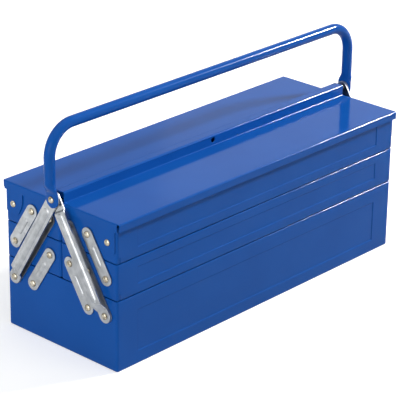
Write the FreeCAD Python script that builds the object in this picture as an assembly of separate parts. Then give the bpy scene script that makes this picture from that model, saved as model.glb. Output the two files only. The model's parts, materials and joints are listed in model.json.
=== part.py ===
import FreeCAD, Part
import math
import os

os.makedirs("parts", exist_ok=True)

V = FreeCAD.Vector

# A steel tool box with five trays that open like stairs to the front and to the rear.
# Lengths are in millimetres. X runs along the box, the front faces -Y and +Z is up.
# The origin is the middle of the base, on the floor.

# Sheet metal body
body_length = 528.0
body_depth = 193.2
box_height = 94.5
middle_tray_height = 48.0
top_tray_height = 52.2
sheet = 1.0
stack_gap = 0.5
middle_gap = 1.0
corner_radius = 3.5
floor_break = 2.2
floor_break_inside = 1.4
hem_depth = 7.0

# Pressed panels in the long walls
panel_end_margin = 35.0
box_panel_floor_margin = 17.0
box_panel_rim_margin = 20.5
tray_panel_floor_margin = 13.0
tray_panel_rim_margin = 12.0
panel_press = 0.8
panel_slope = 1.6

# Relief slits at the feet of the tray corners
slit_height = 9.0
slit_width = 1.0
slit_inset = 5.0

# Lids
lid_side_gap = 0.6
lid_front_gap = 3.3
lid_rest_gap = 0.3
lid_front_flange = 10.0
lid_end_flange = 11.0
lid_end_flange_start = 20.0
lid_corner_slit = 1.6
lid_bend = 0.8
ridge_face = 7.5
ridge_back = 6.4
ridge_height = 14.0
ridge_end_inset = 2.0
ridge_bend = 1.5
ridge_seam = 0.3
padlock_hole_radius = 3.5
padlock_hole_drop = 6.5
ear_outer_inset = 2.6
ear_width = 28.5
ear_depth = 30.0
ear_slant_start = 13.0
ear_slant = 8.2
ear_corner = 6.0

# Swing links
pivot_inset = 17.1
link_middle_gap = 8.5
pivot_drop = 22.0
link_width = 18.0
link_thickness = 2.0
link_clearance = 0.4
link_rib_length = 27.0
link_rib_width = 6.0
link_rib_height = 1.2
rib_slope = 0.8

# Fixed outer arms
arm_lift = 6.3
arm_foot = 7.5
arm_step_run = 8.5
arm_bend = 1.2
arm_rib_width = 9.6
arm_rib_height = 2.0
arm_rib_foot_margin = 19.0
arm_rib_head_margin = 19.0
arm_head_step_start = 18.2
arm_head_step_run = 2.5
arm_stack_gap = 0.2
arm_foot_gap = 0.3

# Rivets
rivet_radius = 3.0
rivet_fit = 0.05
rivet_head_radius = 4.4
rivet_head_height = 2.5
rivet_tail_radius = 4.0
rivet_tail_height = 1.0
rivet_shoulder_share = 0.78
rivet_shoulder_height_share = 0.62
rivet_crown_share = 0.36
head_gap = 0.1
lid_pivot_inset = 14.6
lid_swing_gap = 0.8
lid_swing_start = 2.5
lid_swing_overrun_share = 1.5

# Handle
handle_tube_radius = 7.0
handle_leg_offset = 16.0
handle_reach = 91.0
handle_bend = 37.0
handle_tab_radius = 11.0
handle_tab_thickness = 3.0
handle_tab_top = 7.5
handle_oval_start = 15.0
handle_oval_width = 18.0
handle_oval_thickness = 8.8
handle_round_start = 20.5
handle_tab_gap = 0.3
squeeze_flatness_share = 2.6
apex_rise = 6.5

# Small repeated rounds are drawn as polygons with this many sides
rivet_sides = 8
plate_end_sides = 16
tube_sides = 20
tube_bend_steps = 8
ear_corner_steps = 3

# Cuts run past the metal by these lengths
overrun = 5.0
long_overrun = 20.0

# Edges are matched to a place within this share of the sheet
tolerance_share = 0.01

# Places that follow from the sizes above
half_length = body_length / 2
half_depth = body_depth / 2
middle_floor = box_height + stack_gap
middle_rim = middle_floor + middle_tray_height
top_floor = middle_rim + stack_gap
top_rim = top_floor + top_tray_height
lid_under = top_rim + lid_rest_gap
lid_top = lid_under + sheet
lid_half_length = half_length + lid_side_gap + sheet
lid_half_depth = half_depth + lid_front_gap + sheet
ridge_top = lid_top + ridge_height
lid_plate_half = half_length + lid_side_gap - lid_bend
ridge_half_length = half_length - ridge_end_inset
inner_pivot_y = link_width / 2 + link_middle_gap
outer_pivot_y = half_depth - pivot_inset
pivot_run = (outer_pivot_y - inner_pivot_y) / 2
middle_pivot_y = inner_pivot_y + pivot_run
pivot_rise = middle_tray_height + stack_gap
link_reach = math.hypot(pivot_run, pivot_rise)
link_tilt = math.degrees(math.atan2(pivot_rise, pivot_run))
low_pivot_z = box_height - pivot_drop
mid_pivot_z = low_pivot_z + pivot_rise
top_pivot_z = mid_pivot_z + pivot_rise
lid_pivot_y = half_depth - lid_pivot_inset
apex_z = lid_top + apex_rise
lid_swing_radius = lid_under - top_pivot_z
lid_swing_share = lid_pivot_inset / lid_swing_radius
low_rim_rise = lid_swing_radius * math.cos(math.asin(lid_swing_share)) - lid_swing_gap
hole_radius = rivet_radius + rivet_fit
link_inner = link_clearance
link_outer = link_inner + link_thickness
foot_inner = link_outer + arm_foot_gap
web_inner = foot_inner + arm_lift
web_outer = web_inner + link_thickness
front_head_inner = web_inner - link_thickness - arm_stack_gap
tab_inner = web_outer + handle_tab_gap
tab_outer = tab_inner + handle_tab_thickness
handle_leg_x = half_length + handle_leg_offset
arm_reach = math.hypot(outer_pivot_y, apex_z - low_pivot_z)
arm_tilt = math.degrees(math.atan2(apex_z - low_pivot_z, outer_pivot_y))
quarter_turn = 90.0
full_turn = 360.0
left_to_right = V(1, 0, 0)
front_to_rear = V(0, 1, 0)
origin = V(0, 0, 0)


def upright_edges(shape):
    """Edges that run along Z."""
    found = []
    for edge in shape.Edges:
        box = edge.BoundBox
        if box.XLength < sheet and box.YLength < sheet and box.ZLength > sheet:
            found.append(edge)
    return found


def edges_at_height(shape, height):
    """Edges that lie flat at one height."""
    found = []
    for edge in shape.Edges:
        box = edge.BoundBox
        near = abs(box.ZMin - height) < sheet * tolerance_share
        flat = box.ZLength < sheet * tolerance_share
        if near and flat:
            found.append(edge)
    return found


def block(low, high):
    """A plain block between two corner points."""
    size = high - low
    return Part.makeBox(size.x, size.y, size.z, low)


def skin_between(low, high, twisted=False):
    """A closed solid between two rings of as many points, with flat sides.

    Where the rings differ in shape, twisted cuts each side into two triangles.
    """
    faces = [Part.Face(Part.makePolygon(ring + [ring[0]])) for ring in (low, high)]
    for index, start in enumerate(low):
        after = (index + 1) % len(low)
        sides = [[start, low[after], high[after], high[index]]]
        if twisted:
            sides = [[start, low[after], high[after]], [start, high[after], high[index]]]
        for side in sides:
            faces.append(Part.Face(Part.makePolygon(side + [side[0]])))
    solid = Part.Solid(Part.makeShell(faces))
    if solid.Volume < 0:
        solid.reverse()
    return solid


def rectangle(length, height, y):
    """The corners of a rectangle round the middle of an XZ plane."""
    half_l = length / 2
    half_h = height / 2
    return [V(-half_l, y, -half_h), V(half_l, y, -half_h), V(half_l, y, half_h), V(-half_l, y, half_h)]


def pressed_form(length, height):
    """A shallow tapered block: its wide face at y = 0 and its narrow face deeper in."""
    narrow = rectangle(length - panel_slope * 2, height - panel_slope * 2, panel_press)
    return skin_between(rectangle(length, height, 0), narrow)


def press_panel(shape, wall_y, low_z, high_z):
    """Press a panel into a long wall: a pocket outside and the matching boss inside."""
    length = body_length - panel_end_margin * 2
    height = high_z - low_z
    boss = pressed_form(length, height)
    boss.translate(V(0, sheet, 0))
    pocket = pressed_form(length - sheet, height - sheet)
    if wall_y > 0:
        boss = mirrored(boss, front_to_rear)
        pocket = mirrored(pocket, front_to_rear)
    centre = V(0, wall_y, (low_z + high_z) / 2)
    boss.translate(centre)
    pocket.translate(centre)
    return shape.fuse(boss).cut(pocket)


def tray_shell(front_y, rear_y, floor_z, rim_z):
    """An open tray of folded sheet with a bent foot and a folded-in rim."""
    shape = block(V(-half_length, front_y, floor_z), V(half_length, rear_y, rim_z))
    shape = shape.makeFillet(corner_radius, upright_edges(shape))
    shape = shape.makeChamfer(floor_break, edges_at_height(shape, floor_z))
    room_low = V(sheet - half_length, front_y + sheet, floor_z + sheet)
    room_high = V(half_length - sheet, rear_y - sheet, rim_z - hem_depth)
    room = block(room_low, room_high)
    room = room.makeChamfer(corner_radius - sheet, upright_edges(room))
    room = room.makeChamfer(floor_break_inside, edges_at_height(room, room_low.z))
    fold = V(sheet, sheet, 0)
    mouth = block(room_low + fold, V(room_high.x, room_high.y, rim_z + overrun) - fold)
    mouth = mouth.makeChamfer(corner_radius - sheet, upright_edges(mouth))
    return shape.cut(room.fuse(mouth))


def cut_slits(shape, wall_y, floor_z):
    """Cut the relief slits at both feet of a long wall."""
    for side in (-1, 1):
        centre_x = side * (half_length - slit_inset)
        low = V(centre_x - slit_width / 2, wall_y - sheet, floor_z - overrun)
        high = V(centre_x + slit_width / 2, wall_y + sheet * 2, floor_z + slit_height)
        slit = block(low, high)
        shape = shape.cut(slit)
    return shape


def mirrored(shape, direction):
    return shape.mirror(origin, direction)


def polygon_ring(radius, height):
    """The corners of a rivet's outline round the Z axis, at one height."""
    points = []
    for side in range(rivet_sides):
        angle = math.radians(full_turn * side / rivet_sides)
        points.append(V(radius * math.cos(angle), radius * math.sin(angle), height))
    return points


def turned(rings):
    """A many-sided turned piece, from pairs of radius and height along its axis."""
    shapes = []
    for (low_radius, low), (high_radius, high) in zip(rings, rings[1:]):
        if high > low:
            shapes.append(skin_between(polygon_ring(low_radius, low), polygon_ring(high_radius, high)))
    whole = shapes[0]
    for shape in shapes[1:]:
        whole = whole.fuse(shape)
    return whole.removeSplitter()


def pivot_cutter(low, high):
    """A cutter for a pivot hole: its flats clear the rivet by the running fit."""
    corner_distance = hole_radius / math.cos(math.radians(full_turn / 2 / rivet_sides))
    return turned([(corner_distance, low), (corner_distance, high)])


def end_hole(y, z):
    """A cutter for the pivot holes at y, z through both end walls."""
    cutter = at_left_front(pivot_cutter(-overrun, overrun), y, z, 0)
    return Part.makeCompound([cutter, mirrored(cutter, left_to_right)])


def bottom_box():
    """The big bottom tray with a pressed panel in each long wall."""
    shape = tray_shell(-half_depth, half_depth, 0, box_height)
    panel_top = box_height - box_panel_rim_margin
    for wall_y in (-half_depth, half_depth):
        shape = press_panel(shape, wall_y, box_panel_floor_margin, panel_top)
    for side in (-1, 1):
        for pivot_y in (outer_pivot_y, middle_pivot_y):
            shape = shape.cut(end_hole(side * pivot_y, low_pivot_z))
    return shape


def small_tray(floor_z, height, pivots):
    """A front tray; pivots lists the y and z of its rivet holes."""
    rim_z = floor_z + height
    shape = tray_shell(-half_depth, -middle_gap / 2, floor_z, rim_z)
    panel_low = floor_z + tray_panel_floor_margin
    panel_high = rim_z - tray_panel_rim_margin
    shape = press_panel(shape, -half_depth, panel_low, panel_high)
    shape = cut_slits(shape, -half_depth, floor_z)
    for y, z in pivots:
        shape = shape.cut(end_hole(y, z))
    return shape


def top_tray(pivots):
    """The front top tray: its rim slopes down to the front, so that the turning lid clears it."""
    shape = small_tray(top_floor, top_tray_height, pivots)
    start = V(-lid_half_length, -lid_pivot_y - lid_swing_start, top_rim)
    foot = V(-lid_half_length, -half_depth, top_pivot_z + low_rim_rise)
    slope = foot - start
    points = [start, start + slope * lid_swing_overrun_share]
    points.append(V(-lid_half_length, points[1].y, top_rim + overrun))
    points.append(V(-lid_half_length, start.y, top_rim + overrun))
    wedge = Part.Face(Part.makePolygon(points + [start]))
    return shape.cut(wedge.extrude(V(lid_half_length * 2, 0, 0)))


def fillet_corner(before, at, after, radius):
    """The start, middle and end of the arc that rounds a corner of a path."""
    back = (before - at).normalize()
    ahead = (after - at).normalize()
    half = back.getAngle(ahead) / 2
    cut = radius / math.tan(half)
    toward = (back + ahead).normalize()
    centre = at + toward * (radius / math.sin(half))
    return at + back * cut, centre - toward * radius, at + ahead * cut


def bent_path(points, radii):
    """Straight runs joined by tangent arcs."""
    edges = []
    start = points[0]
    for index, radius in enumerate(radii):
        corner = points[index + 1]
        first, middle, last = fillet_corner(points[index], corner, points[index + 2], radius)
        edges.append(Part.LineSegment(start, first).toShape())
        edges.append(Part.Arc(first, middle, last).toShape())
        start = last
    edges.append(Part.LineSegment(start, points[-1]).toShape())
    return Part.Wire(edges)


def folded_sheet(points, radii, thickness, along):
    """A folded strip: the path is its outer face, and it runs along a direction."""
    path = bent_path(points, radii)
    section = path.makeOffset2D(thickness, join=0, fill=True, openResult=True)
    return section.extrude(along)


def stepped_corner(before, at, after, radius):
    """Points along a rounded corner, in a few equal steps."""
    first, middle, last = fillet_corner(before, at, after, radius)
    arc = Part.Arc(first, middle, last)
    share = (arc.LastParameter - arc.FirstParameter) / ear_corner_steps
    return [arc.value(arc.FirstParameter + share * step) for step in range(ear_corner_steps + 1)]


def lid_ear():
    """The left ear of the front lid: it hangs from the end flange and carries the pivot."""
    top = lid_top - lid_end_flange
    outer_y = -(half_depth - ear_outer_inset)
    inner_y = outer_y + ear_width
    foot = top - ear_depth
    slant_top = top - ear_slant_start
    slant_y = inner_y - ear_slant
    points = [
        V(0, outer_y, top),
        V(0, outer_y, foot),
        V(0, slant_y, foot),
        V(0, inner_y, slant_top),
        V(0, inner_y, top),
    ]
    outline = [points[0]]
    for index in range(1, len(points) - 1):
        outline += stepped_corner(points[index - 1], points[index], points[index + 1], ear_corner)
    outline.append(points[-1])
    ear = Part.Face(Part.makePolygon(outline + [outline[0]])).extrude(V(-sheet, 0, 0))
    ear.translate(V(-half_length - lid_side_gap, 0, 0))
    return ear.cut(end_hole(-lid_pivot_y, top_pivot_z))


def lid_end():
    """The flange folded down at the left end of a front lid."""
    flange_low = lid_top - lid_end_flange
    start_y = -lid_half_depth + lid_corner_slit
    path = [
        V(-lid_half_length, start_y, flange_low),
        V(-lid_half_length, start_y, lid_top),
        V(-half_length + overrun, start_y, lid_top),
    ]
    run = lid_half_depth - lid_corner_slit - lid_end_flange_start
    return folded_sheet(path, [lid_bend + sheet], -sheet, V(0, run, 0))


def lid(top_points, top_radii):
    """A front lid whose inner edge follows the given points of the ridge."""
    points = [
        V(-lid_plate_half, -lid_half_depth, lid_top - lid_front_flange),
        V(-lid_plate_half, -lid_half_depth, lid_top),
    ] + top_points
    sheet_run = V(lid_plate_half * 2, 0, 0)
    shape = folded_sheet(points, [lid_bend + sheet] + top_radii, sheet, sheet_run)
    trim_low = V(ridge_half_length, -ridge_face - sheet, lid_top)
    trim_high = V(lid_half_length, ridge_back + sheet, ridge_top + overrun)
    trim = block(trim_low, trim_high)
    shape = shape.cut(trim).cut(mirrored(trim, left_to_right))
    end = lid_end()
    shape = shape.fuse(end).fuse(mirrored(end, left_to_right))
    hole_low = V(0, -long_overrun, ridge_top - padlock_hole_drop)
    hole = Part.makeCylinder(padlock_hole_radius, long_overrun * 2, hole_low, front_to_rear)
    return shape.cut(hole).removeSplitter()


def front_lid():
    """The front lid: its inner edge rises and folds back as the top of the ridge."""
    points = [
        V(-lid_plate_half, -ridge_face, lid_top),
        V(-lid_plate_half, -ridge_face, ridge_top),
        V(-lid_plate_half, ridge_back - sheet - ridge_seam, ridge_top),
    ]
    return lid(points, [lid_bend, ridge_bend + sheet])


def rear_lid():
    """The rear lid: its inner edge rises as the back wall of the ridge."""
    points = [
        V(-lid_plate_half, -ridge_back, lid_top),
        V(-lid_plate_half, -ridge_back, ridge_top),
    ]
    return mirrored(lid(points, [lid_bend]), front_to_rear)


def stadium(length, width, height):
    """The corners of a round-ended outline about the segment from the origin to (length, 0)."""
    half_count = plate_end_sides // 2
    points = []
    for centre, start in ((length, -quarter_turn), (0, quarter_turn)):
        for step in range(half_count + 1):
            angle = math.radians(start + full_turn / 2 * step / half_count)
            reach = V(math.cos(angle), math.sin(angle), 0) * (width / 2)
            points.append(V(centre, 0, height) + reach)
    return points


def slot_prism(length, width, low, high):
    """A round-ended block that stands between two heights."""
    return skin_between(stadium(length, width, low), stadium(length, width, high))


def rib_form(start, end, width, low, height):
    """A pressed rib with sloping sides from start to end."""
    run = end - start - width
    narrow = stadium(run, width - rib_slope * 2, low + height)
    rib = skin_between(stadium(run, width, low), narrow)
    rib.translate(V(start + width / 2, 0, 0))
    return rib


def stamp_rib(plate, start, end, width, low, top, height):
    """Raise a rib on a plate's outer face and hollow it from the inner face."""
    rib = rib_form(start, end, width, top, height)
    hollow_width = width - sheet
    margin = sheet / 2
    hollow = rib_form(start + margin, end - margin, hollow_width, low, height)
    return plate.fuse(rib).cut(hollow)


def flat_link(length, pivots):
    """A flat bar with round ends and its pivot holes."""
    plate = slot_prism(length, link_width, link_inner, link_outer)
    return drilled(plate, pivots)


def drilled(plate, pivots):
    """Cut a pivot hole at each place along a bar."""
    for place in pivots:
        cutter = pivot_cutter(-overrun, tab_outer)
        cutter.translate(V(place, 0, 0))
        plate = plate.cut(cutter)
    return plate


def at_left_front(shape, y, z, tilt):
    """Stand a bar, drawn flat along X, on the left end wall with its foot at y, z."""
    tilt_cos = math.cos(math.radians(tilt))
    tilt_sin = math.sin(math.radians(tilt))
    matrix = FreeCAD.Matrix(
        0, 0, -1, -half_length,
        tilt_cos, tilt_sin, 0, y,
        tilt_sin, -tilt_cos, 0, z,
        0, 0, 0, 1,
    )
    return shape.transformed(matrix)


def long_link():
    """The long link that swings both front trays, on the left end."""
    bar = flat_link(link_reach * 2, [0, link_reach, link_reach * 2])
    return at_left_front(bar, -outer_pivot_y, low_pivot_z, link_tilt)


def short_link(y, z):
    """A short link with a pressed rib, its foot at y, z."""
    bar = flat_link(link_reach, [0, link_reach])
    rib_start = (link_reach - link_rib_length) / 2
    rib_end = rib_start + link_rib_length
    bar = stamp_rib(bar, rib_start, rib_end, link_rib_width, link_inner, link_outer, link_rib_height)
    return at_left_front(bar, y, z, link_tilt)


def arm_strip(steps):
    """An arm's side profile, from its foot to its head, swept across its width.

    steps lists the start, run and rise of each bend out of or into the plane.
    """
    level = foot_inner
    lower = [V(-overrun * 2, 0, level)]
    upper = [V(-overrun * 2, 0, level + link_thickness)]
    inside = []
    for start, run, rise in steps:
        lean = math.atan2(rise, run) / 2
        shift = V(-link_thickness * math.tan(lean), 0, link_thickness)
        for point in (V(start, 0, level), V(start + run, 0, level + rise)):
            lower.append(point)
            upper.append(point + shift)
        rising = rise > 0
        inside += [(upper[-2], lower[-2]), (lower[-1], upper[-1])] if rising else []
        inside += [] if rising else [(lower[-2], upper[-2]), (upper[-1], lower[-1])]
        level = level + rise
    end = arm_reach + overrun * 2
    lower.append(V(end, 0, level))
    upper.append(V(end, 0, level + link_thickness))
    outline = Part.makePolygon(lower + upper[::-1] + [lower[0]])
    strip = Part.Face(outline).extrude(V(0, link_width, 0))
    strip.translate(V(0, -link_width / 2, 0))
    for inner, outer in inside:
        strip = strip.makeFillet(arm_bend, bend_edges(strip, inner))
        strip = strip.makeFillet(arm_bend + link_thickness, bend_edges(strip, outer))
    return strip


def bend_edges(strip, point):
    """The edges across a strip that pass through a profile point."""
    found = []
    for edge in strip.Edges:
        box = edge.BoundBox
        near_x = abs(box.Center.x - point.x) < sheet * tolerance_share
        near_z = abs(box.Center.z - point.z) < sheet * tolerance_share
        if near_x and near_z:
            found.append(edge)
    return found


def outer_arm(steps):
    """A fixed ribbed arm from the lowest pivot to the apex, on the left end."""
    strip = arm_strip(steps)
    outline = slot_prism(arm_reach, link_width, 0, tab_outer)
    arm = strip.common(outline)
    rib_end = arm_reach - arm_rib_head_margin
    arm = stamp_rib(arm, arm_rib_foot_margin, rib_end, arm_rib_width, web_inner, web_outer, arm_rib_height)
    arm = drilled(arm, [0, arm_reach])
    return at_left_front(arm, -outer_pivot_y, low_pivot_z, arm_tilt)


def front_arm():
    """The front arm steps out above its foot and back in behind the rear arm's head."""
    head_start = arm_reach - arm_head_step_start
    back = -(link_thickness + arm_stack_gap)
    return outer_arm([(arm_foot, arm_step_run, arm_lift), (head_start, arm_head_step_run, back)])


def rear_arm():
    """The rear arm steps out above its foot and stays out up to the apex."""
    arm = outer_arm([(arm_foot, arm_step_run, arm_lift)])
    return mirrored(arm, front_to_rear)


def rivet(y, z, grip_outer, grip_inner):
    """A button-headed rivet with a flared tail, between two distances from the wall."""
    head = grip_outer + head_gap
    tail = grip_inner - head_gap
    shoulder_radius = rivet_head_radius * rivet_shoulder_share
    shoulder = head + rivet_head_height * rivet_shoulder_height_share
    rings = [
        (rivet_tail_radius, tail - rivet_tail_height),
        (rivet_radius, tail),
        (rivet_radius, head),
        (rivet_head_radius, head),
        (shoulder_radius, shoulder),
        (rivet_head_radius * rivet_crown_share, head + rivet_head_height),
    ]
    return at_left_front(turned(rings), y, z, 0)


def both_ends(shapes):
    """The shapes with their mirror images on the right end, as one group."""
    return Part.makeCompound(shapes + [mirrored(shape, left_to_right) for shape in shapes])


def box_rivets():
    """The rivets in the bottom box: long links with arms, and lower links."""
    shapes = [
        rivet(-outer_pivot_y, low_pivot_z, foot_inner + link_thickness, -sheet),
        rivet(-middle_pivot_y, low_pivot_z, link_outer, -sheet),
    ]
    shapes = shapes + [mirrored(shape, front_to_rear) for shape in shapes]
    return both_ends(shapes)


def middle_tray_rivets():
    """The rivets in the front middle tray."""
    shapes = []
    for y in (outer_pivot_y, middle_pivot_y, inner_pivot_y):
        shapes.append(rivet(-y, mid_pivot_z, link_outer, -sheet))
    return both_ends(shapes)


def top_tray_rivets():
    """The rivets in the front top tray, with those of the lid's ears."""
    shapes = []
    for y in (middle_pivot_y, inner_pivot_y):
        shapes.append(rivet(-y, top_pivot_z, link_outer, -sheet))
    shapes.append(rivet(-lid_pivot_y, top_pivot_z, lid_side_gap + sheet, -sheet))
    return both_ends(shapes)


def handle_rivets():
    """The rivets at the apex, through the handle and both arms of each end."""
    return both_ends([rivet(0, apex_z, tab_outer, front_head_inner)])


def tube_ring(centre, outward):
    """The corners of the tube's section at one place, from the outside of its bend."""
    points = []
    for side in range(tube_sides):
        angle = math.radians(full_turn * side / tube_sides)
        across = outward * math.cos(angle) + front_to_rear * math.sin(angle)
        points.append(centre + across * handle_tube_radius)
    return points


def tube_rings(leg_foot):
    """The sections of the left half of the tube, from its foot to the grip's middle."""
    grip_z = apex_z + handle_reach
    rings = [tube_ring(V(-handle_leg_x, 0, leg_foot), -left_to_right)]
    bend_centre = V(handle_bend - handle_leg_x, 0, grip_z - handle_bend)
    for step in range(tube_bend_steps + 1):
        angle = math.radians(quarter_turn * step / tube_bend_steps)
        outward = V(-math.cos(angle), 0, math.sin(angle))
        rings.append(tube_ring(bend_centre + outward * handle_bend, outward))
    rings.append(tube_ring(V(0, 0, grip_z), V(0, 0, sheet).normalize()))
    return rings


def squeezed_ring(width, thickness, flatness_share, height):
    """The corners of the left leg's section where it is squeezed, clear of the arms."""
    centre = V(-half_length - tab_inner - thickness / 2, 0, apex_z + height)
    points = []
    for side in range(tube_sides):
        angle = math.radians(full_turn * side / tube_sides)
        across = max(-1, min(1, math.cos(angle) * flatness_share))
        points.append(centre + V(-across * thickness / 2, math.sin(angle) * width / 2, 0))
    return points


def handle_tab():
    """The flat round tab that the left apex rivet passes through."""
    tab_x = -half_length - tab_outer
    centre = V(tab_x, 0, apex_z)
    disc = Part.makeCylinder(handle_tab_radius, handle_tab_thickness, centre, left_to_right)
    neck_low = V(tab_x, -handle_tab_radius, apex_z)
    neck_high = V(tab_x + handle_tab_thickness, handle_tab_radius, apex_z + handle_tab_top)
    return disc.fuse(block(neck_low, neck_high))


def handle():
    """The tubular handle: a bent tube whose ends are squeezed flat into riveted tabs."""
    leg_foot = apex_z + handle_round_start
    rings = tube_rings(leg_foot)
    tab_width = handle_tab_radius * 2
    flat = squeezed_ring(tab_width, handle_tab_thickness, squeeze_flatness_share, handle_tab_top)
    oval = squeezed_ring(handle_oval_width, handle_oval_thickness, 1, handle_oval_start)
    half = handle_tab().fuse(skin_between(flat, oval, True)).fuse(skin_between(oval, rings[0], True))
    for low, high in zip(rings, rings[1:]):
        half = half.fuse(skin_between(low, high))
    half = half.cut(at_left_front(pivot_cutter(0, tab_outer + overrun), 0, apex_z, 0))
    return half.fuse(mirrored(half, left_to_right)).removeSplitter()


def save(name, shape):
    shape.exportStep("parts/" + name + ".step")


def save_four(name, shape):
    """Save a left front piece and its mirror images at the other ends."""
    save("front_" + name + "_left", shape)
    save("front_" + name + "_right", mirrored(shape, left_to_right))
    rear = mirrored(shape, front_to_rear)
    save("rear_" + name + "_left", rear)
    save("rear_" + name + "_right", mirrored(rear, left_to_right))


def save_front_and_rear(name, shape):
    save("front_" + name, shape)
    save("rear_" + name, mirrored(shape, front_to_rear))


middle_pivots = [(-y, mid_pivot_z) for y in (outer_pivot_y, middle_pivot_y, inner_pivot_y)]
top_pivots = [(-y, top_pivot_z) for y in (lid_pivot_y, middle_pivot_y, inner_pivot_y)]

save("bottom_box", bottom_box())
save_front_and_rear("middle_tray", small_tray(middle_floor, middle_tray_height, middle_pivots))
save_front_and_rear("top_tray", top_tray(top_pivots))
save("front_lid", front_lid())
save("rear_lid", rear_lid())
save_four("lid_ear", lid_ear())
save_four("long_link", long_link())
save_four("lower_link", short_link(-middle_pivot_y, low_pivot_z))
save_four("upper_link", short_link(-outer_pivot_y, mid_pivot_z))
for end_name, turn_over in (("left", False), ("right", True)):
    for name, arm in (("front_arm_", front_arm()), ("rear_arm_", rear_arm())):
        save(name + end_name, mirrored(arm, left_to_right) if turn_over else arm)
save("bottom_box_rivets", box_rivets())
save_front_and_rear("middle_tray_rivets", middle_tray_rivets())
save_front_and_rear("top_tray_rivets", top_tray_rivets())
save("handle_rivets", handle_rivets())
save("handle", handle())
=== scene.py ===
# %% [markdown]
# # A cantilever tool box
#
# The real thing is a folded steel box with five trays. It is enamelled blue, and it opens
# on links of plated steel that turn on button-headed rivets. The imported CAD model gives
# the main sizes and every pivot. This script builds finer skins over it, with the bends,
# ribs, panels and rivet heads that plain solids leave out, and it paints them.
# All lengths here are in metres, in the CAD model's own frame.

# %% Load the fixed frame
import json
import math

import bmesh
import bpy
from mathutils import Matrix, Vector


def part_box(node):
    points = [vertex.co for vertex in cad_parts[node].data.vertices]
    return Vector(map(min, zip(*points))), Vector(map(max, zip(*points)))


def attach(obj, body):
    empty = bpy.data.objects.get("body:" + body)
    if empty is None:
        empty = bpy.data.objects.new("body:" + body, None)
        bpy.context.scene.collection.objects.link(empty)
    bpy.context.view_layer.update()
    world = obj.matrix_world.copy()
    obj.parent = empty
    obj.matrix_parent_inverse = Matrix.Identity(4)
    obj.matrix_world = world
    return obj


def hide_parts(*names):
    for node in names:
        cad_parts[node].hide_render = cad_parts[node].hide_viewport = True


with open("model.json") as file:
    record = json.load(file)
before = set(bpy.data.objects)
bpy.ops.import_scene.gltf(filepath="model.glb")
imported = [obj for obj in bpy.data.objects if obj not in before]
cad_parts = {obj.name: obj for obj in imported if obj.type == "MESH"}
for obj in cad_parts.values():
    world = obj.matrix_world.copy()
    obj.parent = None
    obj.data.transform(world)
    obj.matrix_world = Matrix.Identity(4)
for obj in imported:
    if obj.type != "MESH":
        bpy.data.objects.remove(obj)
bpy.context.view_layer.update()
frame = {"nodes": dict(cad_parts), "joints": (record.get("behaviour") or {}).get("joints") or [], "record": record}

MM = 0.001

# %% [markdown]
# ## The camera
#
# The photograph was taken with a long lens from the box's near left corner. A camera could
# be placed by eye, but here three angles, a distance, two shifts and the lens were fitted
# until the outline of the drawn box lay on the outline in the photograph.

# %% Where the camera stands and how it is turned
CAMERA_AZIMUTH = math.radians(-47.522)
CAMERA_ELEVATION = math.radians(23.280)
CAMERA_ROLL = math.radians(0.821)
CAMERA_DISTANCE = 2646.653 * MM
CAMERA_SHIFT_RIGHT = -8.733 * MM
CAMERA_SHIFT_UP = 108.329 * MM

back = Vector((
    math.sin(CAMERA_AZIMUTH) * math.cos(CAMERA_ELEVATION),
    -math.cos(CAMERA_AZIMUTH) * math.cos(CAMERA_ELEVATION),
    math.sin(CAMERA_ELEVATION),
))
level_right = Vector((0, 0, 1)).cross(back).normalized()
level_up = back.cross(level_right)
right = level_right * math.cos(CAMERA_ROLL) + level_up * math.sin(CAMERA_ROLL)
up = -level_right * math.sin(CAMERA_ROLL) + level_up * math.cos(CAMERA_ROLL)
camera_place = back * CAMERA_DISTANCE + right * CAMERA_SHIFT_RIGHT + up * CAMERA_SHIFT_UP
print("camera at", [round(v, 3) for v in camera_place])

# %% The lens, and the camera in its place
SENSOR_WIDTH = 36.0
FOCAL_PIXELS = 1992.208
PICTURE_PIXELS = 400
FOCAL_SHARE = FOCAL_PIXELS / PICTURE_PIXELS
CLIP_NEAR = 0.05
CLIP_FAR = 50.0

camera_data = bpy.data.cameras.new("camera")
camera_data.sensor_width = SENSOR_WIDTH
camera_data.lens = SENSOR_WIDTH * FOCAL_SHARE
camera_data.clip_start = CLIP_NEAR
camera_data.clip_end = CLIP_FAR
camera = bpy.data.objects.new("camera", camera_data)
camera_turn = Matrix((right, up, back)).transposed().to_4x4()
camera.matrix_world = Matrix.Translation(camera_place) @ camera_turn
bpy.context.scene.collection.objects.link(camera)
bpy.context.scene.camera = camera
print("focal length in millimetres:", round(camera_data.lens, 1))

# %% [markdown]
# ## The lamps
#
# Glossy enamel mirrors whatever stands around it. Large soft lamps light the paint, and
# one narrow lamp far to the right draws a bright line along every rounded edge. That line
# is thinner than a pixel, so a second lamp at the same place, which only gloss can see,
# makes it strong enough without lighting the paint.

# %% Lamps: each has a place, a width and a height, and a power in watts
LAMPS_AIM = Vector((0, 0, 0.1))
EDGE_PLACE = (2.8, -1.25, 2.15)
EDGE_SIZE = (0.55, 0.22)
GLOSS_ONLY = "glint"
LAMPS = {
    "overhead": ((-0.5, -0.2, 2.0), (2.2, 2.2), 14.0),
    "left": ((-2.3, -0.8, 0.7), (2.4, 1.2), 28.0),
    "front": ((0.9, -2.4, 0.9), (1.0, 0.8), 3.0),
    "edge_light": (EDGE_PLACE, EDGE_SIZE, 130.0),
    GLOSS_ONLY: (EDGE_PLACE, EDGE_SIZE, 700.0),
    "behind": ((3.0, 2.1, 1.3), (1.2, 1.2), 2.0),
}

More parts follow.
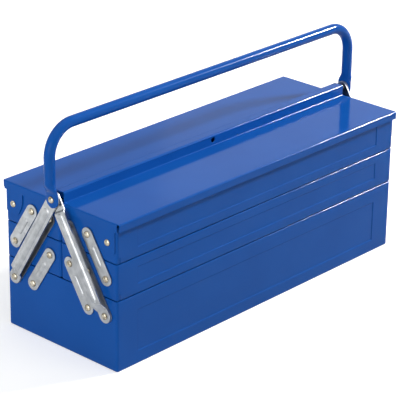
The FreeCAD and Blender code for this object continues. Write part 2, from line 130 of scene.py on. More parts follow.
for lamp_name, (lamp_place, lamp_size, lamp_power) in LAMPS.items():
    lamp_data = bpy.data.lights.new(lamp_name, "AREA")
    lamp_data.shape = "RECTANGLE"
    lamp_data.size, lamp_data.size_y = lamp_size
    lamp_data.energy = lamp_power
    lamp = bpy.data.objects.new(lamp_name, lamp_data)
    lamp.visible_diffuse = lamp_name != GLOSS_ONLY
    lamp.location = lamp_place
    lamp.rotation_mode = "QUATERNION"
    lamp.rotation_quaternion = (LAMPS_AIM - lamp.location).to_track_quat("-Z", "Y")
    bpy.context.scene.collection.objects.link(lamp)
print("lamps:", len(LAMPS))

# %% [markdown]
# ## The white room
#
# The photograph's background is pure white. Turning the world up until it is white would
# bleach the paint as well. Instead the world has two strengths: a strength of 1, which is
# white, for the camera and for what gloss and glass show, and a soft one for the light
# that falls on the box.

# %% A shader that is seen and another that lights
WHITE = (1.0, 1.0, 1.0, 1.0)


def show_when_seen(tree, lighting, seen, output_name):
    """Show one shader to the camera, gloss and glass, and light the rest with the other."""
    path = tree.nodes.new("ShaderNodeLightPath")
    share = path.outputs["Is Camera Ray"]
    for ray in ("Is Glossy Ray", "Is Transmission Ray"):
        either = tree.nodes.new("ShaderNodeMath")
        either.operation = "MAXIMUM"
        tree.links.new(share, either.inputs[0])
        tree.links.new(path.outputs[ray], either.inputs[1])
        share = either.outputs[0]
    pick = tree.nodes.new("ShaderNodeMixShader")
    tree.links.new(share, pick.inputs[0])
    tree.links.new(lighting.outputs[0], pick.inputs[1])
    tree.links.new(seen.outputs[0], pick.inputs[2])
    tree.links.new(pick.outputs[0], tree.nodes[output_name].inputs["Surface"])


# %% The world
ROOM_COLOUR = (0.92, 0.96, 1.0, 1.0)
ROOM_STRENGTH = 0.30
SEEN_STRENGTH = 1.0

bpy.context.scene.view_settings.view_transform = "Standard"
world = bpy.data.worlds.new("studio")
bpy.context.scene.world = world
world.use_nodes = True
room_light = world.node_tree.nodes["Background"]
room_light.inputs["Color"].default_value = ROOM_COLOUR
room_light.inputs["Strength"].default_value = ROOM_STRENGTH
room_seen = world.node_tree.nodes.new("ShaderNodeBackground")
room_seen.inputs["Color"].default_value = WHITE
room_seen.inputs["Strength"].default_value = SEEN_STRENGTH
show_when_seen(world.node_tree, room_light, room_seen, "World Output")
print("world ready:", world.name)

# %% [markdown]
# ## The floor
#
# The floor is a plain sheet that is pale where it is seen, and it keeps the box's soft
# shadow. A photographer lays dark cloth and pale cards round a shiny object to shape the
# light that bounces up at it. Here a ramp across the floor does the same. As the camera
# sees it, the floor goes from grey at the right through dark in the middle to pale at the
# left. The ramp could follow X or Y alone, but the camera looks between the two.

# %% The sheet
FLOOR_HALF = 6.0

floor_mesh = bmesh.new()
bmesh.ops.create_grid(floor_mesh, x_segments=1, y_segments=1, size=FLOOR_HALF)
floor_data = bpy.data.meshes.new("floor")
floor_mesh.to_mesh(floor_data)
floor_mesh.free()
floor = bpy.data.objects.new("floor", floor_data)
bpy.context.scene.collection.objects.link(floor)
print("floor side in metres:", FLOOR_HALF * 2)

# %% The cloth and cards that light the box from below
FLOOR_ROUGHNESS = 0.9
RAMP_START = -0.6
RAMP_END = 0.5
RAMP_GREYS = ((0.0, 0.19), (0.4, 0.05), (0.55, 0.05), (1.0, 0.78))

floor_finish = bpy.data.materials.new("floor")
floor_finish.use_nodes = True
floor_nodes = floor_finish.node_tree.nodes
floor_links = floor_finish.node_tree.links
cloth = floor_nodes["Principled BSDF"]
cloth.inputs["Roughness"].default_value = FLOOR_ROUGHNESS
floor_place = floor_nodes.new("ShaderNodeTexCoord")
floor_axes = floor_nodes.new("ShaderNodeSeparateXYZ")
floor_links.new(floor_place.outputs["Object"], floor_axes.inputs[0])
y_less_x = floor_nodes.new("ShaderNodeMath")
y_less_x.operation = "SUBTRACT"
floor_links.new(floor_axes.outputs["Y"], y_less_x.inputs[0])
floor_links.new(floor_axes.outputs["X"], y_less_x.inputs[1])
across = floor_nodes.new("ShaderNodeMapRange")
across.inputs["From Min"].default_value = RAMP_START
across.inputs["From Max"].default_value = RAMP_END
floor_links.new(y_less_x.outputs[0], across.inputs["Value"])
greys = floor_nodes.new("ShaderNodeValToRGB")
for stop_place, _ in RAMP_GREYS[1:-1]:
    greys.color_ramp.elements.new(stop_place)
for stop, (_, grey) in zip(greys.color_ramp.elements, RAMP_GREYS):
    stop.color = (grey, grey, grey, 1.0)
floor_links.new(across.outputs[0], greys.inputs["Fac"])
floor_links.new(greys.outputs["Color"], cloth.inputs["Base Color"])
print("greys across the floor:", len(RAMP_GREYS))

# %% The pale floor that is seen
PALE_GREY = (0.75, 0.75, 0.75, 1.0)
PALE_GLOW = 0.46

pale = floor_nodes.new("ShaderNodeBsdfPrincipled")
pale.inputs["Base Color"].default_value = PALE_GREY
pale.inputs["Roughness"].default_value = FLOOR_ROUGHNESS
pale.inputs["Emission Color"].default_value = WHITE
pale.inputs["Emission Strength"].default_value = PALE_GLOW
show_when_seen(floor_finish.node_tree, cloth, pale, "Material Output")
floor_data.materials.append(floor_finish)
print("floor ready")

# %% [markdown]
# ## The finishes
#
# Each finish is one shader with plain values and one or two noises that stay with the
# piece. A picture of real paint could be wrapped round the piece, but noise needs no
# picture, has no seams and keeps its size in metres on every piece.

# %% A shader and its noise
def finish(name, colour, metallic, roughness):
    """A new material and its shader, with the plain values set on the shader itself."""
    material = bpy.data.materials.new(name)
    material.use_nodes = True
    shader = material.node_tree.nodes["Principled BSDF"]
    shader.inputs["Base Color"].default_value = (*colour, 1.0)
    shader.inputs["Metallic"].default_value = metallic
    shader.inputs["Roughness"].default_value = roughness
    return material, shader


def noise_in_place(material, scale, detail, stretch=(1, 1, 1)):
    """Noise that is fixed to the piece, in metres, and may be stretched along an axis."""
    nodes = material.node_tree.nodes
    links = material.node_tree.links
    coordinates = nodes.new("ShaderNodeTexCoord")
    mapping = nodes.new("ShaderNodeMapping")
    mapping.inputs["Scale"].default_value = stretch
    noise = nodes.new("ShaderNodeTexNoise")
    noise.inputs["Scale"].default_value = scale
    noise.inputs["Detail"].default_value = detail
    links.new(coordinates.outputs["Object"], mapping.inputs["Vector"])
    links.new(mapping.outputs["Vector"], noise.inputs["Vector"])
    return noise


# %% Noise as colour, and noise as relief
NOISE_LOW = 0.35
NOISE_HIGH = 0.65


def colour_by(material, noise, shader, low, high):
    """Let a noise move the shader's colour between two colours."""
    ramp = material.node_tree.nodes.new("ShaderNodeValToRGB")
    for stop, place, colour in zip(
        ramp.color_ramp.elements, (NOISE_LOW, NOISE_HIGH), (low, high),
    ):
        stop.position = place
        stop.color = (*colour, 1.0)
    material.node_tree.links.new(noise.outputs["Fac"], ramp.inputs["Fac"])
    material.node_tree.links.new(ramp.outputs["Color"], shader.inputs["Base Color"])


def ripple(material, noise, shader, height):
    """Let a noise lift the surface by a real height in metres."""
    bump = material.node_tree.nodes.new("ShaderNodeBump")
    bump.inputs["Strength"].default_value = 1.0
    bump.inputs["Distance"].default_value = height
    material.node_tree.links.new(noise.outputs["Fac"], bump.inputs["Height"])
    material.node_tree.links.new(bump.outputs["Normal"], shader.inputs["Normal"])


# %% [markdown]
# Baked enamel is a glossy skin that is never quite flat: sprayed paint dries with a fine
# ripple called orange peel. A flat colour would look like plastic, so one noise moves the
# colour a little, and a finer one lifts the surface by microns. The specular level is
# below that of real paint, because a full one would wash the blue out in a white room.

# %% Blue enamel
BLUE_DEEP = (0.005, 0.078, 0.345)
BLUE_LIGHT = (0.006, 0.085, 0.367)
ENAMEL_ROUGHNESS = 0.11
ENAMEL_SPECULAR = 0.06
DRIFT_SCALE = 14.0
PEEL_SCALE = 420.0
PEEL_HEIGHT = 0.004 * MM
ENAMEL_DETAIL = 2.0

enamel, enamel_shader = finish("blue_enamel", BLUE_DEEP, 0.0, ENAMEL_ROUGHNESS)
enamel_shader.inputs["Specular IOR Level"].default_value = ENAMEL_SPECULAR
drift = noise_in_place(enamel, DRIFT_SCALE, ENAMEL_DETAIL)
colour_by(enamel, drift, enamel_shader, BLUE_DEEP, BLUE_LIGHT)
peel = noise_in_place(enamel, PEEL_SCALE, ENAMEL_DETAIL)
ripple(enamel, peel, enamel_shader, PEEL_HEIGHT)
print("finish ready:", enamel.name)

# %% [markdown]
# Links and arms are stamped from zinc-plated strip. The plating clouds a little, so a
# noise moves the grey. Rolling leaves faint lines along the strip. A finer noise makes
# them as a low relief, and it is stretched upwards, roughly the way the strips lie.

# %% Plated steel
STEEL_DARK = (0.33, 0.345, 0.36)
STEEL_LIGHT = (0.46, 0.475, 0.49)
STEEL_ROUGHNESS = 0.28
CLOUD_SCALE = 90.0
CLOUD_DETAIL = 3.0
LINE_SCALE = 500.0
LINE_DETAIL = 2.0
LINE_STRETCH = (0.2, 1.0, 0.12)
LINE_HEIGHT = 0.01 * MM

steel, steel_shader = finish("plated_steel", STEEL_LIGHT, 1.0, STEEL_ROUGHNESS)
clouds = noise_in_place(steel, CLOUD_SCALE, CLOUD_DETAIL)
colour_by(steel, clouds, steel_shader, STEEL_DARK, STEEL_LIGHT)
lines = noise_in_place(steel, LINE_SCALE, LINE_DETAIL, LINE_STRETCH)
ripple(steel, lines, steel_shader, LINE_HEIGHT)
print("finish ready:", steel.name)

# %% [markdown]
# The rivets' heads are brighter and warmer than the strip. One noise of a few millimetres,
# enough on so small a piece, darkens them in random patches with painted shade. The dark
# colour stands in for the dark surroundings that a domed head reflects.

# %% Bright rivets
# The dark colour is painted shade for the dark ring that reflection gives the heads, spread at random by noise.
RIVET_PAINTED_SHADE = (0.20, 0.17, 0.12)
RIVET_LIGHT = (0.56, 0.51, 0.41)
RIVET_ROUGHNESS = 0.16
SHADE_PATCH_SCALE = 240.0
SHADE_PATCH_DETAIL = 3.0

bright, bright_shader = finish("bright_rivet", RIVET_LIGHT, 1.0, RIVET_ROUGHNESS)
rivet_shade_patches = noise_in_place(bright, SHADE_PATCH_SCALE, SHADE_PATCH_DETAIL)
colour_by(bright, rivet_shade_patches, bright_shader, RIVET_PAINTED_SHADE, RIVET_LIGHT)
print("finish ready:", bright.name)

# %% Paint the CAD nodes
FINISH_OF_SLOT = {"blue_enamel": enamel, "plated_steel": steel, "rivets": bright}
slot_of_node = {row["node"]: row["material_slot"] for row in frame["record"]["subparts"]}
for node_name, node in frame["nodes"].items():
    node.data.materials.clear()
    node.data.materials.append(FINISH_OF_SLOT[slot_of_node[node_name]])
print("painted nodes:", len(slot_of_node))

# %% [markdown]
# ## Places from the frame
#
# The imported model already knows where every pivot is, because each joint has a place. The
# finer pieces read those places instead of repeating them, so a finer link turns about the
# same point as the plain one that it stands for.

# %% Places of the pivots, by how far out and how high they are
X, Y, Z = 0, 1, 2
box_low, box_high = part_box("bottom_box")
HALF_LENGTH = box_high.x
HALF_DEPTH = box_high.y
pivot = {joint["name"]: Vector(joint["pos_m"]) for joint in frame["joints"]}
outer_low = pivot["front_swing"]
middle_low = pivot["front_lower_link_turn"]
outer_mid = pivot["front_upper_link_turn"]
middle_mid = pivot["front_middle_tray_level"]
inner_top = pivot["front_top_tray_level"]
lid_pivot = pivot["front_lid_hinge"]
apex = pivot["handle_fold"]
inner_mid = Vector((0, inner_top.y, outer_mid.z))
middle_top = Vector((0, middle_low.y, inner_top.z))
print("half length in metres:", round(HALF_LENGTH, 4))

# %% [markdown]
# ## From a bmesh to a piece
#
# Every finer piece ends in the same way. Its doubles are merged, its faces are turned
# outwards, it is hung on the body that it rides on, and the CAD nodes that it stands for
# are hidden. Faces are shaded smooth, with a sharp edge wherever they meet at a steep angle.
# A large flat plate should stay flat next to a small rounded edge, so a Weighted Normal
# modifier gives large faces the say in the shading. It moves no point.

# %% Make a piece
SHARP_ANGLE = math.radians(35)
MERGE = 0.002 * MM


def piece(name, mesh, body, *node_names):
    """Make the object, shade it, hang it on the body it rides on, and hide the nodes it stands for."""
    bmesh.ops.remove_doubles(mesh, verts=mesh.verts, dist=MERGE)
    bmesh.ops.recalc_face_normals(mesh, faces=mesh.faces)
    data = bpy.data.meshes.new(name)
    mesh.to_mesh(data)
    mesh.free()
    data.polygons.foreach_set("use_smooth", [True] * len(data.polygons))
    data.set_sharp_from_angle(angle=SHARP_ANGLE)
    slot_name = slot_of_node[node_names[0]]
    data.materials.append(FINISH_OF_SLOT[slot_name])
    obj = bpy.data.objects.new(name, data)
    bpy.context.scene.collection.objects.link(obj)
    even = obj.modifiers.new("even_plates", "WEIGHTED_NORMAL")
    even.keep_sharp = True
    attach(obj, body)
    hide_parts(*node_names)


# %% [markdown]
# ## The trays
#
# A real tray is one sheet, folded up on four sides, with its rim folded over inside so
# that no raw edge is left to cut a hand. It could be five plates set edge to edge, but
# then every corner would show a seam. Here one ring of edges climbs the outer wall, turns
# over the rim and goes down inside, so wall, fold and floor are a single skin.

# %% Finding and rounding parts of a bmesh
NEAR = 0.01 * MM


def at(item, axis, value):
    """True if every corner of an edge or face lies at one value of an axis."""
    return all(abs(vert.co[axis] - value) < NEAR for vert in item.verts)


def all_at(items, axis, value):
    """The edges or faces that lie at one value of an axis."""
    return [item for item in items if at(item, axis, value)]


def only(kind, geom):
    """The corners, edges or faces out of a list that mixes them."""
    return [item for item in geom if isinstance(item, kind)]


def corners_of(items):
    """The corners of some edges or faces, each of them once."""
    return list(dict.fromkeys(vert for item in items for vert in item.verts))


def bevel(mesh, geom, offset, segments, affect="EDGES"):
    """Round edges or corners with the same settings every time."""
    bmesh.ops.bevel(
        mesh, geom=geom, offset=offset, segments=segments, profile=0.5,
        affect=affect, material=-1,
    )


# %% The outer skin of a tray, open at the top
CORNER_RADIUS = 3.5 * MM
CORNER_SEGMENTS = 6
FLOOR_BEND = 2.2 * MM
FLOOR_SEGMENTS = 4


def open_box(low, high):
    """A box between two corners, with rounded uprights and foot, open at the top."""
    mesh = bmesh.new()
    bmesh.ops.create_cube(mesh, size=1.0)
    bmesh.ops.scale(mesh, vec=high - low, verts=mesh.verts)
    bmesh.ops.translate(mesh, vec=(low + high) / 2, verts=mesh.verts)
    level = all_at(mesh.edges, Z, low.z) + all_at(mesh.edges, Z, high.z)
    upright = [edge for edge in mesh.edges if edge not in level]
    bevel(mesh, upright, CORNER_RADIUS, CORNER_SEGMENTS)
    bmesh.ops.delete(mesh, geom=all_at(mesh.faces, Z, high.z), context="FACES_ONLY")
    bevel(mesh, all_at(mesh.edges, Z, low.z), FLOOR_BEND, FLOOR_SEGMENTS)
    return mesh


# %% A ring that climbs and draws in
def ring_in(mesh, ring, centre, half, rise, inset):
    """Extrude an open ring of edges, lift it and draw it in; half follows the ring's size."""
    made = bmesh.ops.extrude_edge_only(mesh, edges=ring)["geom"]
    verts = only(bmesh.types.BMVert, made)
    scale = ((half.x - inset) / half.x, (half.y - inset) / half.y, 1.0)
    bmesh.ops.scale(mesh, vec=scale, space=Matrix.Translation(-centre), verts=verts)
    bmesh.ops.translate(mesh, vec=(0, 0, rise), verts=verts)
    half.x -= inset
    half.y -= inset
    return only(bmesh.types.BMEdge, made)


# %% The rim that turns over, and the inner skin
SHEET = 1.0 * MM
HEM_DEPTH = 7.0 * MM
RIM_STEPS = 6


def turn_rim(mesh, ring, centre, half):
    """Carry the top ring over the rim in a half circle, one sheet in radius."""
    inset_done = 0.0
    height_done = 0.0
    for step in range(1, RIM_STEPS + 1):
        angle = math.pi * step / RIM_STEPS
        inset = SHEET * (1 - math.cos(angle))
        height = SHEET * math.sin(angle)
        ring = ring_in(mesh, ring, centre, half, height - height_done, inset - inset_done)
        inset_done = inset
        height_done = height
    return ring


def tray_skin(low, high):
    """The whole skin of a folded tray between two corners."""
    mesh = open_box(low, high)
    centre = (low + high) / 2
    half = (high - low) / 2
    ring = all_at(mesh.edges, Z, high.z)
    bmesh.ops.translate(mesh, vec=(0, 0, -SHEET), verts=corners_of(ring))
    ring = turn_rim(mesh, ring, centre, half)
    hem_low = high.z - HEM_DEPTH
    bend_top = low.z + FLOOR_BEND
    ring = ring_in(mesh, ring, centre, half, SHEET - HEM_DEPTH, 0.0)
    ring = ring_in(mesh, ring, centre, half, 0.0, -SHEET)
    ring = ring_in(mesh, ring, centre, half, bend_top - hem_low, 0.0)
    ring = ring_in(mesh, ring, centre, half, SHEET - FLOOR_BEND, FLOOR_BEND - SHEET)
    bmesh.ops.contextual_create(mesh, geom=ring)
    bmesh.ops.recalc_face_normals(mesh, faces=mesh.faces)
    return mesh


# %% [markdown]
# Each long wall that shows carries a shallow panel, pressed inwards to stiffen the sheet.
# Bump in the finish would look flat at a low angle, so the panel is real: four cuts mark
# it out on the flat wall, and an inset with a depth pushes it in with sloping sides. The
# same is done to the inner skin, so that the sheet keeps its thickness.

# %% Pressed panels
PANEL_END = 35.0 * MM
PANEL_DEPTH = 0.8 * MM
PANEL_SLOPE = 1.0 * MM


def cut(mesh, faces, place, normal):
    """Cut some faces with a plane and return all that they became."""
    edges = list(dict.fromkeys(edge for face in faces for edge in face.edges))
    geom = faces + edges + corners_of(faces)
    made = bmesh.ops.bisect_plane(mesh, geom=geom, plane_co=place, plane_no=normal)
    return only(bmesh.types.BMFace, made["geom"])


def press_face(mesh, wall_y, depth, panel_low, panel_high):
    """Press a panel into the one large face that lies at wall_y."""
    wall = [max(all_at(mesh.faces, Y, wall_y), key=lambda face: face.calc_area())]
    panel_half = HALF_LENGTH - PANEL_END
    for x in (panel_half, -panel_half):
        wall = cut(mesh, wall, (x, 0, 0), (1, 0, 0))
    for z in (panel_low, panel_high):
        wall = cut(mesh, wall, (0, 0, z), (0, 0, 1))
    middle = Vector((0, wall_y, (panel_low + panel_high) / 2))
    panel = min(wall, key=lambda face: (face.calc_center_median() - middle).length)
    bmesh.ops.inset_region(
        mesh, faces=[panel], thickness=PANEL_SLOPE, depth=depth, use_even_offset=True,
    )


def press_panel(mesh, wall_y, panel_low, panel_high):
    """Press a panel into both skins of a long wall."""
    inner_y = wall_y - math.copysign(SHEET, wall_y)
    press_face(mesh, wall_y, -PANEL_DEPTH, panel_low, panel_high)
    press_face(mesh, inner_y, PANEL_DEPTH, panel_low, panel_high)


# %% Bottom box
BOX_PANEL_LOW = 17.0 * MM
BOX_PANEL_TOP_MARGIN = 20.5 * MM

bottom = tray_skin(box_low, box_high)
for wall_y in (box_low.y, box_high.y):
    press_panel(bottom, wall_y, BOX_PANEL_LOW, box_high.z - BOX_PANEL_TOP_MARGIN)
piece("tray_bottom", bottom, "root", "bottom_box")
print("bottom box ready")

# %% [markdown]
# The four small trays are one shape at two heights, mirrored for the rear. Short slits at
# the feet of the outer wall let the sheet fold without tearing, and a Boolean cuts them
# right through, as the press does. The rim of the top trays slopes down to the front. That
# hides under the lid's folded edge, and without it the lid would strike the rim as it
# opens.

# %% Modifiers that work on a bmesh
def to_object(name, mesh):
    """A throw-away object with a bmesh in it, for a modifier to work on."""
    data = bpy.data.meshes.new(name)
    mesh.to_mesh(data)
    mesh.free()
    obj = bpy.data.objects.new(name, data)
    bpy.context.scene.collection.objects.link(obj)
    return obj


def modified(obj, *others):
    """What an object's modifiers give, as a bmesh; the objects are removed."""
    depsgraph = bpy.context.evaluated_depsgraph_get()
    result = bmesh.new()
    result.from_mesh(obj.evaluated_get(depsgraph).to_mesh())
    for used in (obj, *others):
        data = used.data
        bpy.data.objects.remove(used)
        bpy.data.meshes.remove(data)
    return result


def carved(mesh, cutter):
    """Cut one closed bmesh out of another."""
    body = to_object("body", mesh)
    tool = to_object("cutter", cutter)
    hole = body.modifiers.new("hole", "BOOLEAN")
    hole.operation = "DIFFERENCE"
    hole.solver = "EXACT"
    hole.object = tool
    return modified(body, tool)


# %% Relief slits
SLIT_HEIGHT = 9.0 * MM
SLIT_WIDTH = 1.0 * MM
SLIT_INSET = 5.0 * MM
SLIT_CUT = SHEET * 6


def cut_slits(mesh, wall_y, floor_z):
    """Open a slit upwards from the floor at both feet of a long wall."""
    cutters = bmesh.new()
    for side in (-1, 1):
        made = bmesh.ops.create_cube(cutters, size=1.0)["verts"]
        bmesh.ops.scale(cutters, vec=(SLIT_WIDTH, SLIT_CUT, SLIT_HEIGHT * 2), verts=made)
        place = (side * (HALF_LENGTH - SLIT_INSET), wall_y, floor_z)
        bmesh.ops.translate(cutters, vec=place, verts=made)
    return carved(mesh, cutters)


# %% The sloping rim, and a mirrored copy
SLOPE_START = lid_pivot.y - 2.5 * MM
SLOPE_DROP = 4.9 * MM
RIM_ZONE = SHEET * 1.5
MIRROR_X = Matrix.Diagonal((-1, 1, 1, 1))
MIRROR_Y = Matrix.Diagonal((1, -1, 1, 1))


def slope_front_rim(mesh, low, high):
    """Lower the rim towards the front, more the nearer it is to the front wall."""
    cut(mesh, list(mesh.faces), (0, SLOPE_START, 0), (0, 1, 0))
    for vert in mesh.verts:
        if vert.co.z > high.z - RIM_ZONE and vert.co.y < SLOPE_START:
            share = (SLOPE_START - vert.co.y) / (SLOPE_START - low.y)
            vert.co.z -= SLOPE_DROP * share


def mirrored(mesh, mirror):
    """A mirrored copy of a bmesh, with its faces turned outwards again."""
    copy = mesh.copy()
    bmesh.ops.transform(copy, matrix=mirror, verts=copy.verts)
    bmesh.ops.reverse_faces(copy, faces=copy.faces)
    return copy


# %% Middle and top trays
TRAY_PANEL_LOW = 13.0 * MM
TRAY_PANEL_TOP_MARGIN = 12.0 * MM

for level in ("middle", "top"):
    low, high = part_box("front_" + level + "_tray")
    front_tray = tray_skin(low, high)
    press_panel(front_tray, low.y, low.z + TRAY_PANEL_LOW, high.z - TRAY_PANEL_TOP_MARGIN)
    if level == "top":
        slope_front_rim(front_tray, low, high)
    front_tray = cut_slits(front_tray, low.y, low.z)
    rear_tray = mirrored(front_tray, MIRROR_Y)
    for side, mesh in (("front", front_tray), ("rear", rear_tray)):
        node_name = side + "_" + level + "_tray"
        piece("tray_" + side + "_" + level, mesh, node_name, node_name)
print("small trays ready: 4")

# %% [markdown]
# ## The lids
#
# A lid is one pressed sheet: a flat top, a flange folded down in front, a shorter one at
# each end with an ear for the pivot, and at its inner edge the wall of the ridge that
# takes the padlock. It could be joined from plates, but a press leaves every crease round
# and the metal even. So only the outer skin is drawn, its creases are rounded, and the
# skin is then thickened inwards.

# %% Sizes of a lid
lid_low, lid_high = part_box("front_lid")
rear_lid_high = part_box("rear_lid")[1]
LID_EDGE_Y = lid_low.y
LID_EDGE_X = lid_high.x
LID_ABOVE_BOX = 102.5 * MM
LID_TOP = box_high.z + LID_ABOVE_BOX
FRONT_FLANGE = 10.0 * MM
BEND = 1.8 * MM
BEND_SEGMENTS = 5
PLATE_HALF = LID_EDGE_X - BEND
RIDGE_HALF = LID_EDGE_X - 0.2 * MM
RIDGE_FACE = -7.5 * MM
RIDGE_BACK = -6.4 * MM
RIDGE_BEND = 2.5 * MM
RIDGE_SEGMENTS = 6
FOOT_BEND = 1.2 * MM
FOOT_SEGMENTS = 3
print("lid's top in metres:", round(LID_TOP, 4))

# %% A folded profile, and its creases
def pull(mesh, edges, shift):
    """Extrude some edges and move the new ones; returns them."""
    made = bmesh.ops.extrude_edge_only(mesh, edges=edges)["geom"]
    bmesh.ops.translate(mesh, vec=shift, verts=only(bmesh.types.BMVert, made))
    return only(bmesh.types.BMEdge, made)


def profile_sheet(points, half):
    """Run a folded profile along X from -half to half."""
    mesh = bmesh.new()
    verts = [mesh.verts.new((-half, y, z)) for y, z in points]
    for start, end in zip(verts, verts[1:]):
        mesh.edges.new((start, end))
    pull(mesh, list(mesh.edges), (half * 2, 0, 0))
    return mesh


def crease(mesh, y, z, offset, segments):
    """Round the long creases that run along X at one y and z."""
    bevel(mesh, all_at(all_at(mesh.edges, Y, y), Z, z), offset, segments)


# %% The flange and the ear at each end of a lid
CORNER_SLIT = 1.6 * MM
END_FLANGE = 11.0 * MM
END_FLANGE_FRONT = LID_EDGE_Y + CORNER_SLIT + BEND
END_FLANGE_BACK = -20.0 * MM
END_BEND = BEND * 0.98
EAR_FRONT = -HALF_DEPTH + 2.6 * MM
EAR_BACK = EAR_FRONT + 28.5 * MM
EAR_DEPTH = 30.0 * MM
EAR_SLANT = 8.2 * MM
EAR_SLANT_START = 13.0 * MM
EAR_CORNER = 5.0 * MM
EAR_SEGMENTS = 5


def between(edge, low, high):
    """True if an edge lies between two values of y."""
    return all(low - NEAR < vert.co.y < high + NEAR for vert in edge.verts)


def add_end(mesh, side):
    """Fold down the flange and the ear at one end of a lid."""
    plate_end = all_at(all_at(mesh.edges, X, side * PLATE_HALF), Z, LID_TOP)
    rim = [edge for edge in plate_end if between(edge, END_FLANGE_FRONT, END_FLANGE_BACK)]
    out = pull(mesh, rim, (side * BEND, 0, 0))
    down = pull(mesh, out, (0, 0, -END_FLANGE))
    ear_top = [edge for edge in down if between(edge, EAR_FRONT, EAR_BACK)]
    ear_mid = pull(mesh, ear_top, (0, 0, -EAR_SLANT_START))
    ear_foot = pull(mesh, ear_mid, (0, 0, EAR_SLANT_START - EAR_DEPTH))
    foot_verts = corners_of(ear_foot)
    mid_back = [vert for vert in corners_of(ear_mid) if abs(vert.co.y - EAR_BACK) < NEAR]
    foot_back = [vert for vert in foot_verts if abs(vert.co.y - EAR_BACK) < NEAR]
    bmesh.ops.translate(mesh, vec=(0, -EAR_SLANT, 0), verts=foot_back)
    bevel(mesh, foot_verts + mid_back, EAR_CORNER, EAR_SEGMENTS, "VERTICES")
    end_crease = all_at(all_at(mesh.edges, X, side * LID_EDGE_X), Z, LID_TOP)
    bevel(mesh, end_crease, END_BEND, BEND_SEGMENTS)


# %% The skin of a lid, facing up
def trim_ridge(mesh):
    """Shorten the ridge a little at both ends, so that it stands inside the flanges."""
    for side in (-1, 1):
        cut(mesh, list(mesh.faces), (side * RIDGE_HALF, 0, 0), (1, 0, 0))
    beyond = [
        face for face in mesh.faces
        if abs(face.calc_center_median().x) > RIDGE_HALF
        and face.calc_center_median().z > LID_TOP + NEAR
    ]
    bmesh.ops.delete(mesh, geom=beyond, context="FACES")


def lid_skin(points, ridge_y):
    """The outer skin of a front lid; ridge_y is where its ridge wall stands."""
    mesh = profile_sheet(points, PLATE_HALF)
    for y in (END_FLANGE_FRONT, EAR_FRONT, EAR_BACK, END_FLANGE_BACK):
        cut(mesh, list(mesh.faces), (0, y, 0), (0, 1, 0))
    for side in (-1, 1):
        add_end(mesh, side)
    trim_ridge(mesh)
    crease(mesh, LID_EDGE_Y, LID_TOP, BEND, BEND_SEGMENTS)
    crease(mesh, ridge_y, LID_TOP, FOOT_BEND, FOOT_SEGMENTS)
    crease(mesh, ridge_y, lid_high.z, RIDGE_BEND, RIDGE_SEGMENTS)
    bmesh.ops.remove_doubles(mesh, verts=mesh.verts, dist=MERGE)
    bmesh.ops.recalc_face_normals(mesh, faces=mesh.faces)
    plate = max(all_at(mesh.faces, Z, LID_TOP), key=lambda face: face.calc_area())
    if plate.normal.z < 0:
        bmesh.ops.reverse_faces(mesh, faces=mesh.faces)
    return mesh


# %% Thickness, and the hole for the padlock
PADLOCK_RADIUS = 3.5 * MM
PADLOCK_DROP = 6.5 * MM
PADLOCK_SEGMENTS = 48
PADLOCK_CUT = 60 * MM
HOLE_EDGE = 0.7 * MM
HOLE_SEGMENTS = 3


def thickened(mesh, thickness):
    """Give a skin the thickness of its sheet, inwards, with the rims closed."""
    skin = to_object("skin", mesh)
    wall = skin.modifiers.new("wall", "SOLIDIFY")
    wall.thickness = thickness
    wall.offset = -1.0
    wall.use_even_offset = True
    return modified(skin)


def with_padlock_hole(mesh, ridge_y):
    """Bore the ridge's wall for the padlock and roll the edge of the hole."""
    hole_z = lid_high.z - PADLOCK_DROP
    cutter = bmesh.new()
    bmesh.ops.create_cone(
        cutter, cap_ends=True, segments=PADLOCK_SEGMENTS, radius1=PADLOCK_RADIUS,
        radius2=PADLOCK_RADIUS, depth=PADLOCK_CUT, matrix=Matrix.Rotation(math.pi / 2, 4, "X"),
    )
    bmesh.ops.translate(cutter, vec=(0, 0, hole_z), verts=cutter.verts)
    mesh = carved(mesh, cutter)
    reach = PADLOCK_RADIUS + NEAR
    rim = [
        edge for edge in all_at(mesh.edges, Y, ridge_y)
        if all(math.hypot(vert.co.x, vert.co.z - hole_z) < reach for vert in edge.verts)
    ]
    bevel(mesh, rim, HOLE_EDGE, HOLE_SEGMENTS)
    return mesh


# %% Both lids
flange_foot = LID_TOP - FRONT_FLANGE
front_points = [
    (LID_EDGE_Y, flange_foot), (LID_EDGE_Y, LID_TOP), (RIDGE_FACE, LID_TOP),
    (RIDGE_FACE, lid_high.z), (lid_high.y, lid_high.z),
]
rear_points = [
    (LID_EDGE_Y, flange_foot), (LID_EDGE_Y, LID_TOP), (RIDGE_BACK, LID_TOP),
    (RIDGE_BACK, rear_lid_high.z),
]
for side, points, ridge_y in (
    ("front", front_points, RIDGE_FACE), ("rear", rear_points, RIDGE_BACK),
):
    mesh = with_padlock_hole(thickened(lid_skin(points, ridge_y), SHEET), ridge_y)
    if side == "rear":
        mesh = mirrored(mesh, MIRROR_Y)
    lid = side + "_lid"
    piece("lid_" + side, mesh, lid, lid, lid + "_ear_left", lid + "_ear_right")
print("lids ready: 2")

# %% [markdown]
# ## Links and arms
#
# The links are stamped from strip, with round ends and a rib pressed along the middle of
# the short ones. A bevelled plate with a rib set on top would show a hard joint between
# them. So one ring of edges makes the whole link: it starts as the outline of the back,
# goes round the rounded edge, crosses the face to the foot of the rib, and climbs the rib.

# %% Rings of a round-ended plate
RING_CORNERS = 48


def plate_ring(mesh, length, radius):
    """The first ring: a circle whose right half is moved along by a length."""
    circle = bmesh.ops.create_circle(
        mesh, cap_ends=True, segments=RING_CORNERS, radius=radius,
    )["verts"]
    half_corner = Matrix.Rotation(math.pi / RING_CORNERS, 3, "Z")
    bmesh.ops.rotate(mesh, matrix=half_corner, verts=circle)
    right_half = [vert for vert in circle if vert.co.x > 0]
    bmesh.ops.translate(mesh, vec=(length, 0, 0), verts=right_half)
    return list(mesh.edges)


